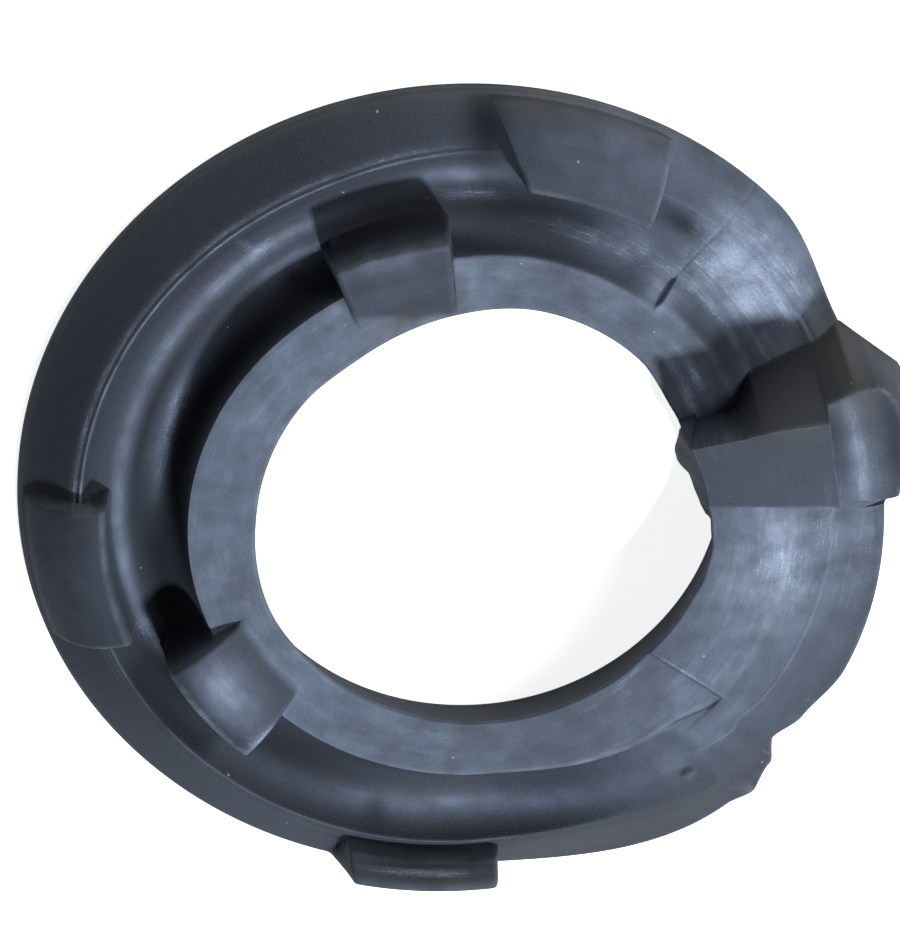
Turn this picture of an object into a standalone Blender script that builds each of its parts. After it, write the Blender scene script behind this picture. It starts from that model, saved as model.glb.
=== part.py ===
"""Coil spring insulator: one moulded rubber ring for the seat of a suspension spring.

The ring lies flat on z = 0. A groove for the spring wire runs round its top face, and the
whole top climbs round the ring: low beside the stop block, where the wire ends, and high
on the plateau behind it. +X points from the ring's centre through the stop block, and
angles run anticlockwise from +X, seen from above.

Units are metres, and angles are in degrees. All of it is one solid.
"""
import math

import bmesh
import bpy

# Ring
BASE_RADIUS = 0.0750        # outer edge of the foot of the ring
START_RADIUS = 0.0718       # outer edge beside the stop block, where the wire ends

# Hole, set off centre towards the stop block
HOLE_RADIUS = 0.0379        # at the rim
HOLE_OFFSET = 0.0032
HOLE_FLARE = 0.0053         # how much wider the hole is at the bottom
RIM_ROUND = 0.0010

# Groove for the wire, between the collar round the hole and the outer lip
COLLAR_RADIUS = 0.0477      # outer edge of the collar
COLLAR_OFFSET = 0.0015
LIP_RADIUS = 0.0650
LIP_OFFSET = 0.0008
LIP_WIDTH = 0.0012
LIP_DROP = 0.0004           # the lip's outer edge is this much lower than its inner edge
GROOVE_POWER = 3.6          # 2 gives a round groove, more gives steeper walls and a flatter floor
FADED_POWER = 11.0          # on the collar side where the groove has nearly run out
END_COLLAR_STEP = 0.0018    # how much wider the collar is in the start sector

# How high each line round the ring is, as (angle, height) from the stop block round to it
COLLAR_HEIGHTS = ((30, 0.0062), (60, 0.0072), (120, 0.0134), (200, 0.0145), (305, 0.0165))
LIP_HEIGHTS = ((40, 0.0040), (70, 0.0052), (105, 0.0088), (265, 0.0100), (304, 0.0160))
FLOOR_HEIGHTS = ((40, 0.0020), (110, 0.0042), (262, 0.0055), (300, 0.0152), (306, 0.0163))
FOOT_HEIGHTS = ((40, 0.0010), (75, 0.0020), (200, 0.0014), (262, 0.0024), (300, 0.0128), (305, 0.0150))
START_HEIGHT = 0.0032       # flat face of the start sector
# How far the top of the outer wall has drawn in from the foot, as (angle, distance)
WALL_LEANS = ((304, 0.0), (309, 0.0016), (312.5, 0.0060), (328, 0.0023), (364, 0.0044))

# Where the sectors meet
FOOT_FULL_ANGLE = 35.0      # the foot has widened from the start sector's edge to the base's
START_ANGLE = 40.0          # end of the start sector, where the groove begins
FADE_ANGLE = 264.0          # the groove starts to run out
PLATEAU_ANGLE = 304.0       # the groove has run out
STEP_ANGLE = 309.0          # the plateau's edge steps in after this
STEP_END_ANGLE = 312.5
HIDDEN_ANGLE = 4.0          # the low and high ends meet here, inside the stop block
NARROW_ANGLE = 17.0         # the start sector has its own narrower foot up to here
SEAM = 0.8                  # angle over which a step between two sectors is drawn

# How far the groove's edges wander out as it runs out
FADE_COLLAR_OUT = 0.0045
FADE_LIP_OUT = 0.0040

# Stop block, as outlines at its foot, at its waist and at its top. Each point is (share of
# the way from the hole's rim to the base's edge along +X, y).
BLOCK_HEIGHT = 0.0210
BLOCK_WAIST_HEIGHT = 0.0090
BLOCK_FOOT = ((0.174, 0.0092), (0.307, 0.0152), (0.829, 0.0194), (0.829, -0.0065),
              (0.230, -0.0066), (0.195, -0.0048), (0.185, 0.0002), (0.174, 0.0058))
BLOCK_WAIST = ((-0.068, 0.0104), (0.263, 0.0138), (0.758, 0.0164), (0.758, -0.0060),
               (0.027, -0.0066), (-0.035, -0.0048), (-0.056, 0.0002), (-0.106, 0.0058))
BLOCK_TOP = ((-0.038, 0.0110), (0.204, 0.0108), (0.634, 0.0121), (0.622, -0.0046),
             (0.115, -0.0011), (-0.006, -0.0002), (-0.015, 0.0022), (-0.024, 0.0050))

# Lug outboard of the block, lower than it. Each point is (distance beyond the base's edge, y).
LUG_HEIGHT = 0.0178
LUG_FOOT = ((-0.0190, 0.0140), (-0.0110, 0.0160), (-0.0055, 0.0192), (0.0035, 0.0095),
            (0.0058, 0.0020), (0.0045, -0.0070), (-0.0190, -0.0045))
LUG_TOP = ((-0.0190, 0.0110), (-0.0110, 0.0132), (-0.0070, 0.0141), (-0.0005, 0.0138),
           (0.0018, 0.0040), (0.0008, -0.0055), (-0.0190, -0.0035))

# Tops of the tabs, from inner to outer edge, as (share, height). The share runs from the lip
# to the base's edge for the outer tabs, and from the hole to the collar's edge for the inner.
OUTER_TAB = ((-0.40, 0.0120), (0.05, 0.0112), (0.50, 0.0078), (0.88, 0.0026))
LEFT_TAB = ((-0.49, 0.0126), (0.00, 0.0120), (0.50, 0.0086), (0.88, 0.0032))
EDGE_TAB = ((0.22, 0.0134), (0.55, 0.0142), (0.82, 0.0132), (0.95, 0.0100))
UPPER_INNER_TAB = ((0.11, 0.0114), (0.62, 0.0134), (1.24, 0.0152), (1.56, 0.0150))
LOWER_INNER_TAB = ((0.27, 0.0150), (0.72, 0.0172), (1.39, 0.0180), (1.85, 0.0168))
# Tabs: (name, radii that the shares run between, (start, end) angles at the inner edge, the
# same at the outer edge, top, inner run-out of the foot, outer run-out angles of the foot)
CLEAR_OF_FLARE = -(HOLE_FLARE + 0.0010)    # the hidden foot of an inner tab stays out of the flared hole
ON_THE_LIP = (LIP_RADIUS, BASE_RADIUS)
ON_THE_COLLAR = (HOLE_RADIUS, COLLAR_RADIUS)
TABS = (
    ("outer_tab", ON_THE_LIP, (50.5, 70.5), (52.0, 76.5), OUTER_TAB, 0.0006, (1.0, 4.0)),
    ("left_tab", ON_THE_LIP, (165.5, 191.0), (167.5, 189.0), LEFT_TAB, 0.0006, (1.5, 1.0)),
    ("edge_tab", ON_THE_LIP, (243.5, 266.5), (246.0, 265.8), EDGE_TAB, 0.0012, (5.0, 0.5)),
    ("upper_inner_tab", ON_THE_COLLAR, (81.5, 106.5), (83.0, 104.5), UPPER_INNER_TAB, CLEAR_OF_FLARE, (0.8, 2.0)),
    ("lower_inner_tab", ON_THE_COLLAR, (193.0, 217.0), (196.5, 218.5), LOWER_INNER_TAB, CLEAR_OF_FLARE, (1.5, 1.5)),
)
TAB_RUN_OUT = 0.5           # angle that every tab's foot runs out at its inner edge
TAB_SINK = 0.0010           # how high a tab's hidden foot is above the ring's flat base
TAB_ARC_STEPS = 8

STATION_STEP = 2.5          # angle between sections of the ring
GROOVE_SAMPLES = (-1.0, -0.93, -0.84, -0.72, -0.55, -0.28, 0.0, 0.28, 0.55, 0.75, 0.9, 1.0)

RUBBER_COLOUR = (0.045, 0.052, 0.068, 1.0)
RUBBER_ROUGHNESS = 0.55


def smooth(value):
    """Ease a 0 to 1 ramp at both ends."""
    value = min(max(value, 0.0), 1.0)
    return value * value * (3.0 - 2.0 * value)


def blend(low, high, share):
    return low + (high - low) * share


def rising(angle, first, last):
    """0 before the first angle, 1 after the last, eased between."""
    return smooth((angle - first) / (last - first))


def height_at(angle, heights):
    """Height, or other distance, that changes round the ring through (angle, value) pairs."""
    if angle <= heights[0][0]:
        return heights[0][1]
    for (start, low), (end, high) in zip(heights, heights[1:]):
        if angle <= end:
            return blend(low, high, smooth((angle - start) / (end - start)))
    return heights[-1][1]


def reach(angle, radius, offset):
    """Distance from the ring's centre to a circle whose own centre is offset along +X."""
    turn = math.radians(angle)
    return offset * math.cos(turn) + math.sqrt(radius ** 2 - (offset * math.sin(turn)) ** 2)


def section(angle):
    """Closed outline (radius, height) of the ring's section at one angle, from 4 to 364."""
    in_groove = rising(angle, START_ANGLE - SEAM, START_ANGLE)
    faded = rising(angle, FADE_ANGLE, PLATEAU_ANGLE)
    from_start = rising(angle, NARROW_ANGLE, FOOT_FULL_ANGLE)

    foot = blend(START_RADIUS, BASE_RADIUS, from_start)
    foot_height = height_at(angle, FOOT_HEIGHTS)
    edge = foot - height_at(angle, WALL_LEANS)
    collar_height = height_at(angle, COLLAR_HEIGHTS)
    lip_height = height_at(angle, LIP_HEIGHTS)
    floor_height = height_at(angle, FLOOR_HEIGHTS)
    collar = reach(angle, COLLAR_RADIUS, COLLAR_OFFSET)
    collar += END_COLLAR_STEP * (1.0 - in_groove) + FADE_COLLAR_OUT * faded
    lip = reach(angle, LIP_RADIUS, LIP_OFFSET) + FADE_LIP_OUT * faded
    lip = min(lip, edge - 2.0 * LIP_WIDTH)
    rim = reach(angle, HOLE_RADIUS, HOLE_OFFSET)
    bottom = reach(angle, HOLE_RADIUS + HOLE_FLARE, HOLE_OFFSET)

    outline = [(bottom, 0.0), (foot, 0.0), (edge, foot_height)]
    outline.append((lip + LIP_WIDTH, lip_height - LIP_DROP))
    middle = 0.5 * (lip + collar)
    half = 0.5 * (lip - collar)
    for share in reversed(GROOVE_SAMPLES):
        side = lip_height if share > 0.0 else collar_height
        power = GROOVE_POWER if share > 0.0 else blend(GROOVE_POWER, FADED_POWER, faded)
        groove = floor_height + (side - floor_height) * abs(share) ** power
        start_face = START_HEIGHT
        if share < -0.5:
            start_face = blend(START_HEIGHT, collar_height, smooth((-share - 0.5) / 0.5))
        outline.append((middle + half * share, blend(start_face, groove, in_groove)))
    outline.append((rim + RIM_ROUND, collar_height))
    outline.append((rim, collar_height - RIM_ROUND))
    return outline


def station_angles():
    """Angles of the sections, closer together where one sector steps to the next."""
    marks = {HIDDEN_ANGLE, START_ANGLE - SEAM, START_ANGLE, PLATEAU_ANGLE, STEP_ANGLE, STEP_END_ANGLE}
    angle = HIDDEN_ANGLE
    while angle < HIDDEN_ANGLE + 360.0 - 0.5 * STATION_STEP:
        if all(abs(angle - mark) > 0.3 * STATION_STEP for mark in marks):
            marks.add(angle)
        angle += STATION_STEP
    marks.add(HIDDEN_ANGLE + 360.0 - SEAM)
    return sorted(marks)


def polar(radius, angle, height):
    turn = math.radians(angle)
    return (radius * math.cos(turn), radius * math.sin(turn), height)


def new_object(name, mesh_data, collection, material):
    mesh = bpy.data.meshes.new(name)
    mesh_data.normal_update()
    bmesh.ops.recalc_face_normals(mesh_data, faces=mesh_data.faces)
    mesh_data.to_mesh(mesh)
    mesh_data.free()
    mesh.materials.append(material)
    built = bpy.data.objects.new(name, mesh)
    collection.objects.link(built)
    return built


def bridge_rings(mesh_data, rings, closed):
    """Quads between neighbouring rings of points, and from the last to the first if closed."""
    count = len(rings[0])
    pairs = list(zip(rings, rings[1:]))
    if closed:
        pairs.append((rings[-1], rings[0]))
    for first, second in pairs:
        for index in range(count):
            after = (index + 1) % count
            mesh_data.faces.new((first[index], first[after], second[after], second[index]))


def ring_body(collection, material):
    """The ring itself: a loft through sections that change all the way round."""
    mesh_data = bmesh.new()
    rings = []
    for angle in station_angles():
        rings.append([mesh_data.verts.new(polar(radius, angle, height)) for radius, height in section(angle)])
    bridge_rings(mesh_data, rings, closed=True)
    return new_object("spring_insulator", mesh_data, collection, material)


def block_outline(points):
    rim = HOLE_OFFSET + HOLE_RADIUS
    return [(blend(rim, BASE_RADIUS, share), y) for share, y in points]


def lug_outline(points):
    return [(BASE_RADIUS + beyond, y) for beyond, y in points]


def drafted_block(name, levels, collection, material):
    """A block lofted through plan outlines, given as (height, outline) from the foot up."""
    mesh_data = bmesh.new()
    rings = [[mesh_data.verts.new((x, y, height)) for x, y in outline] for height, outline in levels]
    bridge_rings(mesh_data, rings, closed=False)
    mesh_data.faces.new(rings[0])
    mesh_data.faces.new(rings[-1])
    return new_object(name, mesh_data, collection, material)


def tab_section(tab, share):
    """Outline of a tab at one place along its arc: over the top, then back along its foot."""
    name, band, inner_angles, outer_angles, profile, inner_run_out, outer_run_out = tab
    radii = [blend(band[0], band[1], across_band) for across_band, height in profile]
    inner_radius = radii[0]
    outer_radius = radii[-1]
    top = []
    foot = []
    for radius, (across_band, height) in zip(radii, profile):
        across = (radius - inner_radius) / (outer_radius - inner_radius)
        start = blend(inner_angles[0], outer_angles[0], across)
        end = blend(inner_angles[1], outer_angles[1], across)
        top.append((radius, blend(start, end, share), height))
        start -= blend(TAB_RUN_OUT, outer_run_out[0], across)
        end += blend(TAB_RUN_OUT, outer_run_out[1], across)
        foot_radius = radius - inner_run_out * (1.0 - across)
        foot.append((foot_radius, blend(start, end, share), TAB_SINK))
    return top + foot[::-1]


def tab_solid(tab, collection, material):
    mesh_data = bmesh.new()
    rings = []
    for step in range(TAB_ARC_STEPS + 1):
        outline = tab_section(tab, step / TAB_ARC_STEPS)
        rings.append([mesh_data.verts.new(polar(*point)) for point in outline])
    bridge_rings(mesh_data, rings, closed=False)
    mesh_data.faces.new(rings[0])
    mesh_data.faces.new(rings[-1])
    return new_object(tab[0], mesh_data, collection, material)


def rubber():
    material = bpy.data.materials.new("moulded_rubber")
    material.use_nodes = True
    shader = material.node_tree.nodes["Principled BSDF"]
    shader.inputs["Base Color"].default_value = RUBBER_COLOUR
    shader.inputs["Roughness"].default_value = RUBBER_ROUGHNESS
    shader.inputs["Metallic"].default_value = 0.0
    return material


def join_to(body, tool):
    """Moulded on: the tool's volume becomes part of the body."""
    tool.hide_render = True
    tool.display_type = "WIRE"
    union = body.modifiers.new("join " + tool.name, "BOOLEAN")
    union.operation = "UNION"
    union.solver = "EXACT"
    union.object = tool


def new_collection(name):
    collection = bpy.data.collections.new(name)
    bpy.context.scene.collection.children.link(collection)
    return collection


def centre_on_bounds(body, tools):
    """Put the origin midway along X and Y of the whole part, on its flat base."""
    lug_reach = max(beyond for beyond, y in LUG_FOOT)
    shift = -0.5 * lug_reach
    for item in [body] + tools:
        item.location.x = shift


def build():
    for item in list(bpy.data.objects):
        bpy.data.objects.remove(item, do_unlink=True)
    part = new_collection("coil_spring_insulator")
    helpers = new_collection("moulded_on_shapes")
    material = rubber()
    body = ring_body(part, material)
    block_levels = ((TAB_SINK, block_outline(BLOCK_FOOT)), (BLOCK_WAIST_HEIGHT, block_outline(BLOCK_WAIST)),
                    (BLOCK_HEIGHT, block_outline(BLOCK_TOP)))
    lug_levels = ((TAB_SINK, lug_outline(LUG_FOOT)), (LUG_HEIGHT, lug_outline(LUG_TOP)))
    tools = [
        drafted_block("stop_block", block_levels, helpers, material),
        drafted_block("stop_lug", lug_levels, helpers, material),
    ]
    tools += [tab_solid(tab, helpers, material) for tab in TABS]
    for tool in tools:
        join_to(body, tool)
    centre_on_bounds(body, tools)
    body.data.shade_smooth()
    body.data.set_sharp_from_angle(angle=math.radians(35.0))


build()
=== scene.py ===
# %% [markdown]
# # A coil spring insulator in black rubber
# This ring sits between a car's coil spring and the body. The end of the spring lies in the
# groove and stops against the tall block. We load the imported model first. It fixes where the
# ring is and how big it may be, and everything that we make stays inside its box.

import math

import bpy
import numpy as np
from mathutils import Matrix, Vector


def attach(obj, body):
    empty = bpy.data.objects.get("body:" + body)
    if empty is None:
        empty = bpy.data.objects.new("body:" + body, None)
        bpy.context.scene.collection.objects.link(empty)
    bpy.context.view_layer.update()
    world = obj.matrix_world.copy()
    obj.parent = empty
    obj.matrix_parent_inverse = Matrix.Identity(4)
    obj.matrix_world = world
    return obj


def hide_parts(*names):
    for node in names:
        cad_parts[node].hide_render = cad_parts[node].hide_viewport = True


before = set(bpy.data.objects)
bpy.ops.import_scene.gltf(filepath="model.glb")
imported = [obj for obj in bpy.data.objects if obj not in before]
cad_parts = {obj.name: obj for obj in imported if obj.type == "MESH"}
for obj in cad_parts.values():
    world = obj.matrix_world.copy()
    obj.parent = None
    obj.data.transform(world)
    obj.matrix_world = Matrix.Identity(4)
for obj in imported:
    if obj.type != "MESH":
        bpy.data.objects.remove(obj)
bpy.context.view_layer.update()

# %% [markdown]
# ## The camera
# The photograph looks down at the ring from 62 degrees above the floor, from quite far away,
# so there is little perspective. The angles were worked out from the outline of the ring,
# which is a circle on the real part. We build the camera's matrix from its direction and its
# roll, because a tracking constraint can't roll the picture.

# %% Place the camera
RING_CENTRE_X = -0.0029            # the lug sticks out, so the ring's centre is left of the origin
CAMERA_AZIMUTH = 1.56951           # radians from +X
CAMERA_ELEVATION = 1.08897
CAMERA_ROLL = 2.96278
CAMERA_DISTANCE = 0.6
CAMERA_LENS = 132.57               # mm, on a 36 mm sensor
AIM = Vector((RING_CENTRE_X - 0.00036, 0.003754, 0.0))


def camera_matrix():
    back = Vector((math.cos(CAMERA_ELEVATION) * math.cos(CAMERA_AZIMUTH),
                   math.cos(CAMERA_ELEVATION) * math.sin(CAMERA_AZIMUTH),
                   math.sin(CAMERA_ELEVATION)))
    level_right = (-back).cross(Vector((0.0, 0.0, 1.0))).normalized()
    level_up = level_right.cross(-back)
    right = math.cos(CAMERA_ROLL) * level_right + math.sin(CAMERA_ROLL) * level_up
    up = math.cos(CAMERA_ROLL) * level_up - math.sin(CAMERA_ROLL) * level_right
    turn = Matrix((right, up, back)).transposed().to_4x4()
    return Matrix.Translation(AIM + CAMERA_DISTANCE * back) @ turn


camera_data = bpy.data.cameras.new("camera")
camera_data.sensor_width = 36.0
camera_data.lens = CAMERA_LENS
camera_data.clip_start = 0.01
camera = bpy.data.objects.new("camera", camera_data)
camera.matrix_world = camera_matrix()
bpy.context.scene.collection.objects.link(camera)
bpy.context.scene.camera = camera
print("camera at, mm:", [round(1000 * value) for value in camera.matrix_world.translation])

# %% [markdown]
# ## Softening numbers
# Rubber comes out of its mould with every edge a little round. One way to round edges is a
# bevel on a finished mesh. Here the top of the ring is a landscape of heights instead, and
# wherever two of its surfaces meet, a soft minimum or maximum of the two heights rounds the
# meeting line by itself. These few helpers are all that it takes. They work on whole numpy
# arrays at once.

# %% Helpers for heights
def eased(share):
    share = np.clip(share, 0.0, 1.0)
    return share * share * (3.0 - 2.0 * share)


def rising(value, first, last):
    """0 before the first value, 1 after the last, eased between."""
    return eased((value - first) / (last - first))


def within(value, first, last, soft):
    """1 between two values, eased down to 0 outside them."""
    return rising(value, first - soft, first) * (1.0 - rising(value, last, last + soft))


def blend(low, high, share):
    return low + (high - low) * share


def around(angle, pairs):
    """A value that changes round the ring through (angle, value) pairs."""
    value = pairs[0][1] + 0.0 * angle
    for (start, low), (end, high) in zip(pairs, pairs[1:]):
        value = value + (high - low) * rising(angle, start, end)
    return value


def looked_up(value, table, column):
    """Straight lines through one column of a table, by the table's first column."""
    return np.interp(value, [row[0] for row in table], [row[column] for row in table])


def soft_min(first, second, softness):
    share = np.clip(0.5 + 0.5 * (second - first) / softness, 0.0, 1.0)
    return blend(second, first, share) - softness * share * (1.0 - share)


def soft_max(first, second, softness):
    return -soft_min(-first, -second, softness)


def rounding(distance, radius):
    """How far a quarter-round edge has dropped at a distance in from the edge."""
    inward = np.clip(radius - distance, 0.0, radius)
    return radius - np.sqrt(radius ** 2 - inward ** 2)


def bell(value, centre, half_width):
    return np.exp(-((value - centre) / half_width) ** 2)


def in_mm(length):
    return round(1000.0 * float(length), 1)


print("a soft corner between 1 and 1, 0.4 soft:", float(soft_min(1.0, 1.0, 0.4)))

# %% [markdown]
# ## The lines round the ring
# Seen from above, the ring is a few circles: the hole's rim, the edge of the flat collar, the
# outer lip and the foot. They aren't quite concentric. Each line also climbs: the spring's
# wire is a helix, so its seat is low beside the stop block and high behind it. All lengths
# are in metres and all angles in degrees, anticlockwise from the block.

# %% Lines of the ring
BASE_RADIUS = 0.0750
START_RADIUS = 0.0718              # the foot's radius beside the block
START_SECTOR = (17.0, 35.0)        # and the angles between which it grows to the base's
HOLE_RADIUS = 0.0379
HOLE_OFFSET = 0.0032
COLLAR_RADIUS = 0.0477
COLLAR_OFFSET = 0.0015
LIP_RADIUS = 0.0650
LIP_OFFSET = 0.0008
LIP_WIDTH = 0.0012
GROOVE_END = 39.0                  # the groove's own end, towards the block
END_COLLAR_STEP = 0.0018           # before it the collar is this much wider
# Where the groove runs out: (first angle, last angle, widening)
COLLAR_WIDENINGS = ((264.0, 304.0, 0.0045), (304.0, 313.5, 0.0028))
LIP_WIDENINGS = ((284.0, 309.0, 0.0040),)
# (angle, distance): how far the outer wall's top leans in, and how far the rim wanders
WALL_LEANS = ((304, 0.0), (309, 0.0020), (312.5, 0.0052), (317.7, 0.0035), (326.6, 0.0016), (364, 0.0034))
RIM_SHIFTS = (
    (55, 0.0), (82, -0.0007), (108, -0.0006), (128, 0.0), (160, 0.0), (196, 0.0008), (216, 0.0004),
    (250, -0.0003), (290, -0.0006), (308, -0.0003), (330, 0.0006), (338, 0.0013), (345, 0.0014),
    (352, 0.0009), (359, 0.0),
)


def reach(angle, radius, offset):
    """Distance from the ring's centre to a circle whose own centre is offset along +X."""
    turn = np.radians(angle)
    return offset * np.cos(turn) + np.sqrt(radius ** 2 - (offset * np.sin(turn)) ** 2)


def widened(radius, angle, widenings):
    for first, last, widening in widenings:
        radius = radius + widening * rising(angle, first, last)
    return radius


def ring_lines(angle):
    """Radius of the rim, collar, lip, top edge and foot at each angle from 4 to 364."""
    in_groove = rising(angle, GROOVE_END - 0.6, GROOVE_END + 0.4)
    foot = blend(START_RADIUS, BASE_RADIUS, rising(angle, *START_SECTOR))
    edge = foot - around(angle, WALL_LEANS)
    collar = reach(angle, COLLAR_RADIUS, COLLAR_OFFSET) + END_COLLAR_STEP * (1.0 - in_groove)
    collar = widened(collar, angle, COLLAR_WIDENINGS)
    lip = widened(reach(angle, LIP_RADIUS, LIP_OFFSET), angle, LIP_WIDENINGS)
    lip = np.minimum(lip, edge - 2.0 * LIP_WIDTH)
    rim = reach(angle, HOLE_RADIUS, HOLE_OFFSET) + around(angle, RIM_SHIFTS)
    return rim, collar, lip, edge, foot


for place in (20.0, 120.0, 200.0, 340.0):
    print(place, "degrees, mm:", [in_mm(line) for line in ring_lines(place)])

# %% [markdown]
# ## The top of the ring
# One function gives the height of the bare ring anywhere on its top. Inside the collar's edge
# it is flat. Between collar and lip it is the groove, a curve with steep walls and a fairly
# flat floor. Outside the lip a flank slopes down to the foot. Beside the block, in the start
# sector, there is no groove but a low flat face with a valley along the collar.

# %% Marks where the groove runs out
PLATEAU_START = 314.0
FACET_START = 303.0
FACET_DEPTH = 0.00040
FACET_REACH = 0.0562               # radius that the facet ends at
CREASE_SPAN = (274.0, 312.5)
CREASE_DEPTH = 0.00026
CREASE_WIDTH = 0.00030
DENT_DEPTH = 0.0006
DENT_ANGLE = 299.6
DENT_RADIUS = 0.0630


def run_out_marks(angle, radius, collar):
    """How deep the marks are in front of the plateau: a low facet, a crease and a dent."""
    along = np.clip((angle - FACET_START) / (PLATEAU_START - FACET_START), 0.0, 1.0)
    before_plateau = 1.0 - rising(angle, PLATEAU_START - 0.2, PLATEAU_START + 0.3)
    inside = 1.0 - rising(radius, FACET_REACH - 0.0004, FACET_REACH + 0.0004)
    facet = FACET_DEPTH * along * before_plateau * inside
    crease = CREASE_DEPTH * bell(radius, collar, CREASE_WIDTH) * within(angle, *CREASE_SPAN, 14.0)
    crease = crease * (1.0 - rising(angle, CREASE_SPAN[1], CREASE_SPAN[1] + 0.7))
    dent = DENT_DEPTH * bell(angle, DENT_ANGLE, 0.8) * bell(radius, DENT_RADIUS, 0.0008)
    return facet + crease + dent


print("facet beside the plateau, mm deep:", in_mm(run_out_marks(313.0, 0.045, 0.056)))

# %% Height of the bare ring
START_HEIGHT = 0.0032
START_LIP_HEIGHT = 0.0035
LIP_DROP = 0.0004
# (angle, height) of each line
COLLAR_HEIGHTS = ((30, 0.0062), (60, 0.0072), (120, 0.0134), (200, 0.0145), (305, 0.0165))
LIP_HEIGHTS = ((40, 0.0040), (70, 0.0052), (105, 0.0088), (265, 0.0100), (304, 0.0160))
FLOOR_HEIGHTS = ((40, 0.0027), (110, 0.0042), (262, 0.0055), (300, 0.0152), (306, 0.0163))
FOOT_HEIGHTS = ((40, 0.0010), (75, 0.0020), (200, 0.0014), (262, 0.0024), (300, 0.0128), (305, 0.0150))
RUN_OUT = (264.0, 304.0)
WALL_POWER = 3.6                   # a higher power makes a flatter floor and steeper walls
RUN_OUT_POWER = 11.0
END_STEP = 0.15                    # share of the groove's depth that it has right at its end
GROOVE_FULL = 49.0
VALLEY_START = 0.40                # share of the way from the middle to the collar
LAST_ACROSS = 1.6                  # the groove's walls stop rising this far across
LIP_RISE = (35.0, 46.0)            # angles between which the lip comes up out of the start sector
SOFT_CORNER = 0.0005
LIP_CORNER = 0.0006
START_CORNER = 0.0004
START_LINE_DEPTH = 0.00014
START_LINE_SPAN = (16.0, 27.0, 7.0)    # first angle, last angle, fade
END_CREASE_DEPTH = 0.00012
END_CREASE_REACH = (0.0470, 0.0500)
BEAD_DEPTH = 0.00012
BEAD_SPAN = (85.0, 262.0, 12.0)


def groove_share(angle):
    step = rising(angle, GROOVE_END - 0.3, GROOVE_END + 0.3)
    return END_STEP * step + (1.0 - END_STEP) * rising(angle, GROOVE_END + 0.3, GROOVE_FULL)


def groove_height(angle, across, collar_height, lip_height):
    """The groove's section: across is -1 at the collar and 1 at the lip."""
    floor_height = around(angle, FLOOR_HEIGHTS)
    side = np.where(across > 0.0, lip_height, collar_height)
    inner_power = blend(WALL_POWER, RUN_OUT_POWER, rising(angle, *RUN_OUT))
    power = np.where(across > 0.0, WALL_POWER, inner_power)
    return floor_height + (side - floor_height) * np.minimum(np.abs(across), LAST_ACROSS) ** power


def flank_height(angle, radius, lip, edge, lip_height):
    """The narrow flat lip and the flank that slopes from it to the foot."""
    past_lip = radius - lip
    beyond = (past_lip - LIP_WIDTH) / np.maximum(edge - lip - LIP_WIDTH, 0.001)
    lip_top = lip_height - LIP_DROP * np.clip(past_lip / LIP_WIDTH, 0.0, 1.0)
    foot_height = around(angle, FOOT_HEIGHTS)
    flank = lip_height - LIP_DROP + (foot_height - lip_height + LIP_DROP) * beyond
    return soft_min(lip_top, flank, LIP_CORNER)


def bare_ring(angle, radius):
    collar, lip, edge = ring_lines(angle)[1:4]
    in_groove = groove_share(angle)
    collar_height = around(angle, COLLAR_HEIGHTS)
    lip_height = blend(START_LIP_HEIGHT, around(angle, LIP_HEIGHTS), rising(angle, *LIP_RISE))
    across = (radius - 0.5 * (lip + collar)) / (0.5 * (lip - collar))
    groove = groove_height(angle, across, collar_height, lip_height)

    valley = np.clip((-across - VALLEY_START) / (1.0 - VALLEY_START), 0.0, 3.0)
    start_face = START_HEIGHT + (collar_height - START_HEIGHT) * valley
    start_face = soft_max(START_HEIGHT, start_face, START_CORNER)
    inner = soft_min(collar_height, blend(start_face, groove, in_groove), SOFT_CORNER)

    outer = flank_height(angle, radius, lip, edge, lip_height)
    start_line = START_LINE_DEPTH * bell(radius, lip + 0.0010, 0.00022) * within(angle, *START_LINE_SPAN)
    start_side = blend(START_HEIGHT, outer, rising(radius, lip - 0.0003, lip + 0.0006)) - start_line
    outer = blend(start_side, soft_min(groove, outer, SOFT_CORNER), in_groove)

    crease = END_CREASE_DEPTH * bell(angle, GROOVE_END, 0.20) * rising(radius, *END_CREASE_REACH)
    bead = BEAD_DEPTH * bell(radius, lip + 0.00062, 0.00016) * within(angle, *BEAD_SPAN)
    return np.where(across > 0.0, outer, inner) - bead - crease - run_out_marks(angle, radius, collar)


for radius in (0.045, 0.056, 0.070):
    print("at 120 degrees and radius", in_mm(radius), "mm: height", in_mm(bare_ring(120.0, radius)))

# %% [markdown]
# ## Five tabs
# Tabs on both sides of the groove hold the wire in. Each one is a small hill with a curved
# top and four walls. A mould needs draft, so the walls lean. We give the top as four points
# from its inner to its outer edge and lay a cubic through them, then take the soft minimum
# of top and walls.

# %% Height of a tab
ON_THE_LIP = (LIP_RADIUS, BASE_RADIUS)
ON_THE_COLLAR = (HOLE_RADIUS, COLLAR_RADIUS)
OUTER_TAB = ((-0.40, 0.0120), (0.05, 0.0112), (0.50, 0.0078), (0.88, 0.0026))
LEFT_TAB = ((-0.49, 0.0126), (0.00, 0.0120), (0.50, 0.0086), (0.88, 0.0032))
EDGE_TAB = ((0.22, 0.0126), (0.48, 0.0140), (0.82, 0.0135), (0.95, 0.0102))
UPPER_INNER_TAB = ((0.05, 0.0110), (0.62, 0.0132), (1.24, 0.0150), (1.56, 0.0156))
LOWER_INNER_TAB = ((0.27, 0.0150), (0.72, 0.0172), (1.39, 0.0180), (1.85, 0.0168))
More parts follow.
